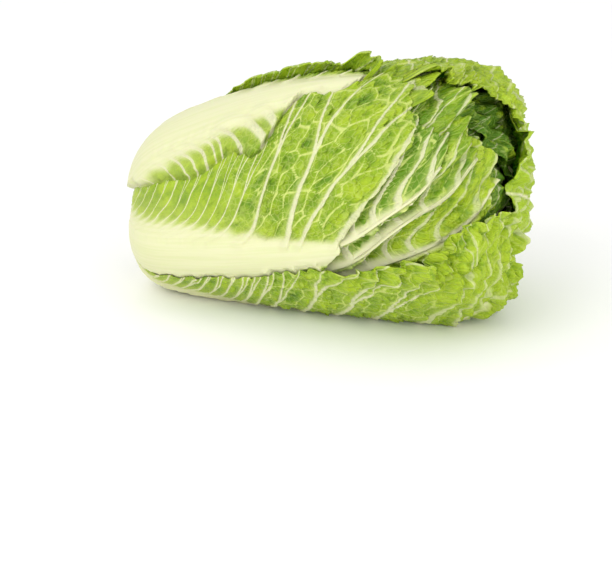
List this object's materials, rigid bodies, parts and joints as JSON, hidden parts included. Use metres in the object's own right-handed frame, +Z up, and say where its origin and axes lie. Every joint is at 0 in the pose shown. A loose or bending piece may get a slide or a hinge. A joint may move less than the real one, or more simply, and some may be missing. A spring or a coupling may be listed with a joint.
{
  "type": "napa cabbage",
  "caption": "Whole barrel-shaped head of napa cabbage lying on its side, with pale ribs, crinkled green leaf blades and a cut stump.",
  "frame": {"origin": "bottom centre of the head's bounding box, on the surface that it lies on", "axes": "+X along the head from the cut stump to the leafy crown, +Z up, -Y towards the side with the fanned leaf ribs"},
  "size_m": [0.2812, 0.1838, 0.1809],
  "materials": {
    "outer_leaf": "waxy crinkled green blade with broad cream ribs and raised pale veins",
    "wrapper_leaf": "waxy crinkled yellow-green blade with cream ribs, frilled margin",
    "heart_leaf": "soft crumpled pale yellow blade with white ribs",
    "stump": "matt cream cut stem, slightly browned at its rim"
  },
  "bodies": {
    "root": {"outer_leaf_under": "outer_leaf", "outer_leaf_front": "outer_leaf", "outer_leaf_back": "outer_leaf", "outer_leaf_top": "outer_leaf", "rib_leaf_front": "outer_leaf", "rib_leaf_middle": "outer_leaf", "rib_leaf_low": "outer_leaf", "wrapper_leaf_08": "wrapper_leaf", "wrapper_leaf_09": "wrapper_leaf", "wrapper_leaf_10": "wrapper_leaf", "wrapper_leaf_11": "wrapper_leaf", "wrapper_leaf_12": "wrapper_leaf", "heart_leaf_13": "heart_leaf", "heart_leaf_14": "heart_leaf", "heart_leaf_15": "heart_leaf", "heart_leaf_16": "heart_leaf", "heart_leaf_17": "heart_leaf", "heart_leaf_18": "heart_leaf", "heart_leaf_19": "heart_leaf", "heart_leaf_20": "heart_leaf", "heart_leaf_21": "heart_leaf", "heart_leaf_22": "heart_leaf", "heart_leaf_23": "heart_leaf", "heart_leaf_24": "heart_leaf", "heart_bud": "heart_leaf", "stump": "stump"}
  },
  "joints": []
}
